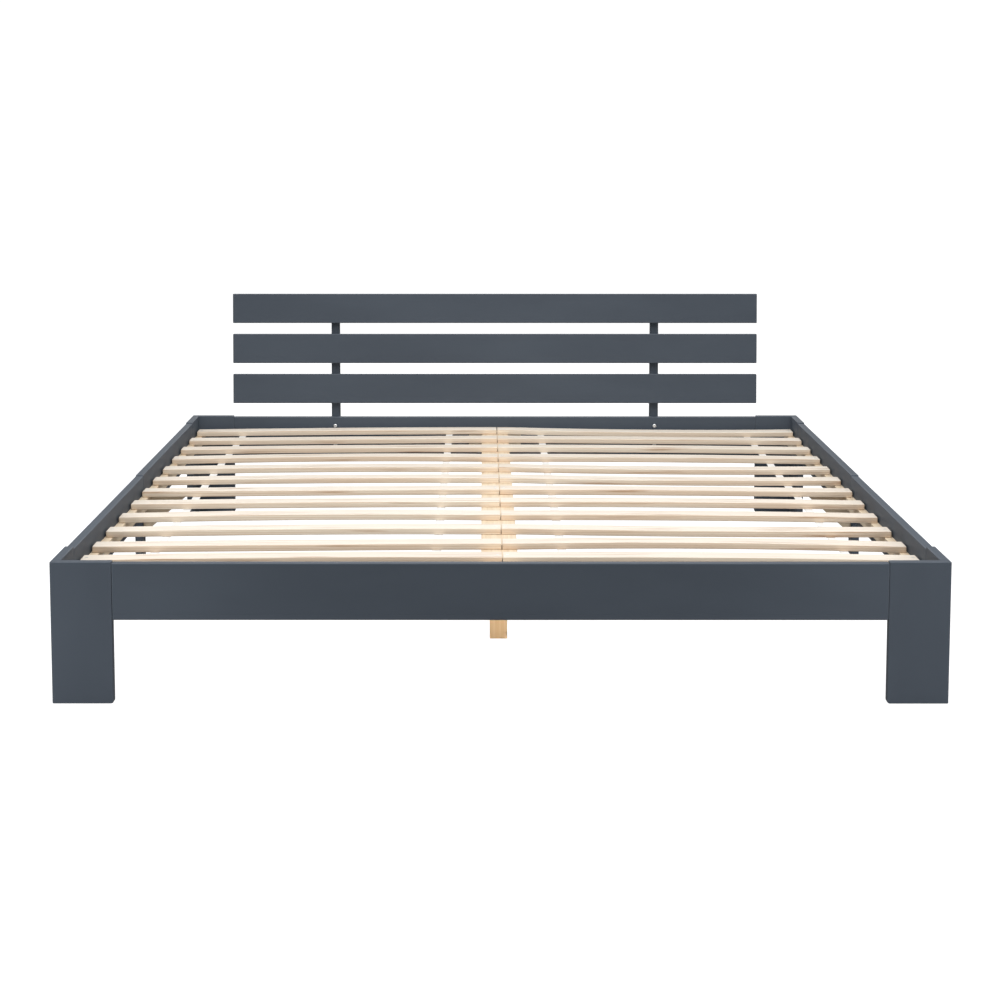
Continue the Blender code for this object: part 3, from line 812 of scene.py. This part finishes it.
def headboard_bolt(node_name):
    """A domed bolt with a hexagon socket, driven through the rear rail into an upright."""
    low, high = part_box(node_name)
    head = (high.x - low.x) / 2
    rail_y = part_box("rear_rail")[0].y
    tall = rail_y - low.y
    shank_end = rail_y - high.y
    rings = [circle(BOLT_SHANK * 0.8, shank_end, BOLT_SIDES),
             circle(BOLT_SHANK, shank_end + 0.001, BOLT_SIDES),
             circle(BOLT_SHANK, 0.0, BOLT_SIDES)]
    rings += [circle(head * out, tall * up, BOLT_SIDES) for out, up in BOLT_DOME]
    rings += [hexagon(head * 0.36, tall * 0.97, BOLT_SIDES),
              hexagon(head * 0.34, tall * 0.25, BOLT_SIDES)]
    mesh = ring_solid(node_name + "_steel", rings)
    middle = ((low.x + high.x) / 2, rail_y, (low.z + high.z) / 2)
    mesh.transform(Matrix.Translation(middle) @ Matrix.Rotation(math.radians(90), 4, "X"))
    for face in mesh.polygons:
        face.use_smooth = len(face.vertices) == 4 and face.area < NARROW_STEEL
    return finish_piece(put(node_name + "_steel", mesh), ZINC, "zinc_bolt", node_name)


def screw_head():
    """A countersunk head with a cross recess, looking along +Z."""
    r, crown = SCREW_RADIUS, SCREW_CROWN
    turn = math.radians(45)
    outline = ((r * 0.6, -0.0010), (r, -0.0001), (r, crown * 0.4), (r * 0.86, crown))
    rings = [circle(radius, z, SCREW_SIDES, turn) for radius, z in outline]
    rings += [cross(r * 0.56, r * 0.13, crown), cross(r * 0.40, r * 0.08, -0.0012)]
    return ring_solid("screw_head", rings)


def staple():
    """A flat-crowned staple, its crown across the tape and looking along +Z."""
    shape = bmesh.new()
    wire, half = STAPLE_WIRE, STAPLE_WIDTH / 2
    for low, high in (((-half, -wire / 2, 0.0), (half, wire / 2, wire * 0.7)),
                      ((-half, -wire / 2, -STAPLE_LEG), (-half + wire, wire / 2, 0.0)),
                      ((half - wire, -wire / 2, -STAPLE_LEG), (half, wire / 2, 0.0))):
        add_block(shape, low, high)
    return as_mesh(shape, "staple")


def fastener_tree():
    """Set one fastener on each point, standing along the point's own direction and turned."""
    tree, given, out = geometry_tree("set_fasteners", [
        ("Places", "NodeSocketGeometry", None), ("Fastener", "NodeSocketObject", None),
        ("Size", "NodeSocketFloat", 1.0), ("Seed", "NodeSocketInt", 3),
        ("Least Turn", "NodeSocketFloat", 0.0), ("Most Turn", "NodeSocketFloat", 6.283),
        ("Material", "NodeSocketMaterial", None)])
    facing = node(tree, "GeometryNodeInputNamedAttribute", {"Name": "facing"},
                  data_type="FLOAT_VECTOR")
    turned = node(tree, "FunctionNodeAlignEulerToVector", {"Vector": facing.outputs[0]}, axis="Z")
    spin = node(tree, "FunctionNodeRandomValue", {
        2: given["Least Turn"], 3: given["Most Turn"], "Seed": given["Seed"]}, data_type="FLOAT")
    rolled = node(tree, "FunctionNodeRotateEuler", {
        "Rotation": turned.outputs[0], "Axis": (0.0, 0.0, 1.0), "Angle": spin.outputs[1]},
        rotation_type="AXIS_ANGLE", space="LOCAL")
    shape = node(tree, "GeometryNodeObjectInfo", {"Object": given["Fastener"]},
                 transform_space="ORIGINAL")
    spots = node(tree, "GeometryNodeMeshToPoints", {"Mesh": given["Places"]})
    set_down = node(tree, "GeometryNodeInstanceOnPoints", {
        "Points": spots.outputs[0], "Instance": shape.outputs["Geometry"],
        "Rotation": rolled.outputs[0], "Scale": given["Size"]})
    dress(tree, set_down.outputs[0], given["Material"], out)
    return tree


def set_fasteners(name, tree, fastener, places, **values):
    """Put a fastener at each place, given as a point and the direction its head looks in."""
    mesh = bpy.data.meshes.new(name + "_places")
    mesh.from_pydata([point for point, facing in places], [], [])
    store(mesh, "facing", "FLOAT_VECTOR", [facing for point, facing in places])
    fastener.materials.clear()
    fastener.materials.append(ZINC)
    pattern = bpy.data.objects.new("pattern", fastener)
    piece = grown(name, tree, {"Fastener": pattern, "Material": ZINC, **values}, mesh)
    bpy.data.objects.remove(pattern)
    return finish_piece(piece, None, "zinc_bolt")


def slat_screw_places():
    """A screw at both ends of some slats, down into the ledger and the beam."""
    places = []
    for number in SCREWED_SLATS:
        for side, inward in (("left", 1), ("right", -1)):
            node_name = f"{side}_slat_{number:02d}"
            low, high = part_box(node_name)
            outer, inner = slat_ends(node_name)
            for x in (outer + inward * LEDGER_SCREW, inner - inward * MEETING_SCREW):
                z = span_height(node_name, x) + SLAT_THICKNESS
                places.append(((x, (low.y + high.y) / 2, z), (0, 0, 1)))
    return places


def support_screw_places():
    """Screws through the ledgers and the beam blocks into the rails."""
    places = []
    for side, inward in (("left", 1), ("right", -1)):
        low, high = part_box(f"{side}_ledger")
        face = high.x if side == "left" else low.x
        spacing = (high.y - low.y) / (LEDGER_SCREWS - 1 + 2 * FIRST_LEDGER_SCREW)
        for step in range(LEDGER_SCREWS):
            y = low.y + spacing * (step + FIRST_LEDGER_SCREW)
            places.append(((face, y, (low.z + high.z) / 2), (inward, 0, 0)))
    for end, inward in (("front", 1), ("rear", -1)):
        low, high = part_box(f"{end}_beam_block")
        face = high.y if end == "front" else low.y
        for x in (low.x * BLOCK_SCREW_SHARE, high.x * BLOCK_SCREW_SHARE):
            places.append(((x, face, (low.z + high.z) / 2), (0, inward, 0)))
    return places


def staple_places():
    """One staple through a tape into each slat above it."""
    places = []
    for name in TAPES:
        low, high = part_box(name)
        x = (low.x + high.x) / 2
        for slat_node in row_of_slats(name):
            slat_low, slat_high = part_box(slat_node)
            z = span_height(slat_node, x) - SEAM - TAPE_THICKNESS
            places.append(((x, (slat_low.y + slat_high.y) / 2, z), (0, 0, -1)))
    return places


def plank_screw_places():
    """Two screws through each upright into each plank: points on the upright's back."""
    places = []
    for side in ("left", "right"):
        low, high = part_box(f"{side}_headboard_upright")
        for level in PLANK_LEVELS:
            plank_low, plank_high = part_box(f"{level}_headboard_plank")
            for share in PLANK_SCREW_HEIGHTS:
                z = plank_low.z + (plank_high.z - plank_low.z) * share
                places.append(((low.x + high.x) / 2, high.y, z))
    return places


def bored_upright(side, places):
    """An upright with the holes that the planks' screws sit in."""
    piece = from_cad(f"{side}_headboard_upright", "_board", "z", "y", PAINT, "grey_paint")
    low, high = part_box(f"{side}_headboard_upright")
    shape = bmesh.new()
    for x, y, z in places:
        if low.x < x < high.x:
            place = Matrix.Translation((x, y, z)) @ Matrix.Rotation(math.radians(90), 4, "X")
            bmesh.ops.create_cone(shape, cap_ends=True, segments=20, radius1=BORE_RADIUS,
                                  radius2=BORE_RADIUS, depth=2 * BORE_DEPTH, matrix=place)
    cutter = put("bores", as_mesh(shape, "bores"))
    cut = piece.modifiers.new("bores", "BOOLEAN")
    cut.operation, cut.solver, cut.object = "DIFFERENCE", "EXACT", cutter
    view = bpy.context.evaluated_depsgraph_get()
    made = bpy.data.meshes.new_from_object(piece.evaluated_get(view))
    piece.modifiers.clear()
    piece.data = made
    for name in ("board", "tone", "edge"):
        made.attributes.remove(made.attributes[name])
    mark_board(made, piece.name, "z", "y")
    store(made, "edge", "FLOAT", [0.0] * len(made.vertices))
    made.materials.clear()
    made.materials.append(PAINT)
    bpy.data.objects.remove(cutter)
    return piece


# ---------------------------------------------------------------- build

def build_painted_frame():
    for end in ("front", "rear"):
        straight_board(f"{end}_rail", "x", "z", PAINT, "grey_paint", PAINTED_EDGE)
        for side in ("left", "right"):
            corner_post(end, side)
            straight_board(f"{side}_side_rail_{end}", "y", "z", PAINT, "grey_paint", PAINTED_EDGE)
    for side in ("left", "right"):
        straight_board(f"{side}_middle_leg", "z", "y", PAINT, "grey_paint", PAINTED_EDGE)
        bored_upright(side, plank_screw_places())
    for level in PLANK_LEVELS:
        headboard_plank(level)


def build_bare_frame():
    straight_board("centre_beam", "y", "x", FRAME_PINE, "pine", PLANED_EDGE)
    for end in ("front", "rear"):
        straight_board(f"{end}_centre_leg", "z", "x", LEG_PINE, "pine", PLANED_EDGE)
        from_cad(f"{end}_beam_block", "_wood", "x", "z", FRAME_PINE, "pine")
    for side in ("left", "right"):
        straight_board(f"{side}_ledger", "y", "z", FRAME_PINE, "pine", PLANED_EDGE)
        from_cad(f"{side}_leg_bracket", "_wood", "x", "z", FRAME_PINE, "pine")


def build_slats():
    tree = bowed_slat_tree()
    beam_low, beam_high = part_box("centre_beam")
    for side in ("left", "right"):
        ledger_low, ledger_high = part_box(f"{side}_ledger")
        ledger_edge = ledger_high.x if side == "left" else ledger_low.x
        beam_edge = beam_low.x if side == "left" else beam_high.x
        for node_name in row_of_slats(side):
            slat(tree, node_name, ledger_edge, beam_edge)


def build_fasteners():
    tree = fastener_tree()
    head = screw_head()
    set_fasteners("slat_screws", tree, head, slat_screw_places())
    set_fasteners("support_screws", tree, head, support_screw_places())
    driven = [((x, y - BORE_DEPTH + SEAM, z), (0, 1, 0)) for x, y, z in plank_screw_places()]
    set_fasteners("plank_screws", tree, head, driven)
    across = {"Least Turn": -STAPLE_SKEW, "Most Turn": STAPLE_SKEW}
    set_fasteners("tape_staples", tree, staple(), staple_places(), **across)


SLAT_COUNT = sum(name.startswith("left_slat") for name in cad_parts)
SLAT_BOTTOM, SLAT_TOP = slat_heights("left_slat_01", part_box("left_ledger")[1].x)
SLAT_THICKNESS = SLAT_TOP - SLAT_BOTTOM
TAPES = [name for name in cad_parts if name.endswith("_tape")]
BOLTS = [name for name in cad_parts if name.endswith("_bolt")]
SPANS = {}    # each built slat's edges, height, rise and bow

build_painted_frame()
build_bare_frame()
build_slats()
for name in TAPES:
    tape(name)
for name in BOLTS:
    headboard_bolt(name)
build_fasteners()


# ---------------------------------------------------------------- studio

FLOOR_GREY = (0.34, 0.34, 0.34, 1.0)
FLOOR_SHOWN = 0.92           # the white that the camera sees on top of the floor's grey
WORLD_LIGHT = 0.40
WORLD_SHOWN = 1.05
# Name, place, target, size, power in watts and spread in degrees
SOFTBOXES = (
    ("overhead_softbox", (0.0, -0.7, 3.5), (0.0, 1.3, 0.35), (4.2, 3.8), 126, 180),
    ("left_softbox", (-2.2, -2.6, 0.9), (-1.0, -1.05, 0.15), (1.0, 1.0), 2.3, 45),
    ("right_softbox", (2.2, -2.6, 0.9), (1.0, -1.05, 0.15), (1.0, 1.0), 2.1, 45),
    ("rear_softbox", (0.0, 4.6, 2.0), (0.0, 1.0, 0.35), (3.0, 1.6), 40, 180),
    ("low_fill", (0.0, -2.4, 0.03), (0.0, -0.5, 0.07), (0.10, 0.04), 0.036, 8))
EYE = (-0.0357, -5.1009, 1.2186)
LENS = 71.25
SHIFT = (0.018, -0.17)
DOWN = 6.066                 # degrees that the camera looks down
ASIDE = 0.04                 # degrees that it is turned to the left


def studio_floor():
    """A floor that lights the frame from below a little and looks white to the camera."""
    shape = bmesh.new()
    bmesh.ops.create_grid(shape, x_segments=1, y_segments=1, size=60.0)
    floor = put("studio_floor", as_mesh(shape, "studio_floor"))
    material, tree, shader = new_material("white_floor", (0.9, 0.9, 0.9))
    seen = node(tree, "ShaderNodeLightPath").outputs["Is Camera Ray"]
    shader.inputs["Base Color"].default_value = FLOOR_GREY
    shader.inputs["Roughness"].default_value = 0.9
    shader.inputs["Specular IOR Level"].default_value = 0.0
    shader.inputs["Emission Color"].default_value = (1.0, 1.0, 1.0, 1.0)
    shown = calc(tree, "MULTIPLY", seen, FLOOR_SHOWN)
    tree.links.new(shown, shader.inputs["Emission Strength"])
    floor.data.materials.append(material)


def softbox(name, place, target, size, power, spread):
    """A rectangular light at a place, turned to a target; its spread is in degrees."""
    light = bpy.data.lights.new(name, "AREA")
    light.shape = "RECTANGLE"
    light.size, light.size_y = size
    light.energy = power
    light.spread = math.radians(spread)
    lamp = put(name, light)
    lamp.location = place
    lamp.rotation_euler = (Vector(target) - Vector(place)).to_track_quat("-Z", "Y").to_euler()
    lamp.visible_camera = False


def studio_light():
    world = bpy.data.worlds.new("studio")
    world.use_nodes = True
    tree = world.node_tree
    background = tree.nodes["Background"]
    background.inputs["Color"].default_value = (1.0, 1.0, 1.0, 1.0)
    seen = node(tree, "ShaderNodeLightPath").outputs["Is Camera Ray"]
    strength = ramp(tree, seen, 0.0, 1.0, WORLD_LIGHT, WORLD_SHOWN, smooth=False)
    tree.links.new(strength, background.inputs["Strength"])
    bpy.context.scene.world = world
    for values in SOFTBOXES:
        softbox(*values)


def camera():
    """A long lens at a standing eye's height, in front of the foot end."""
    data = bpy.data.cameras.new("camera")
    data.lens = LENS
    data.sensor_width = 36.0
    data.shift_x, data.shift_y = SHIFT
    data.clip_end = 100.0
    eye = put("camera", data)
    eye.location = EYE
    eye.rotation_euler = (math.radians(90 - DOWN), 0.0, math.radians(ASIDE))
    bpy.context.scene.camera = eye


studio_floor()
studio_light()
camera()
bpy.context.scene.view_settings.view_transform = "Standard"
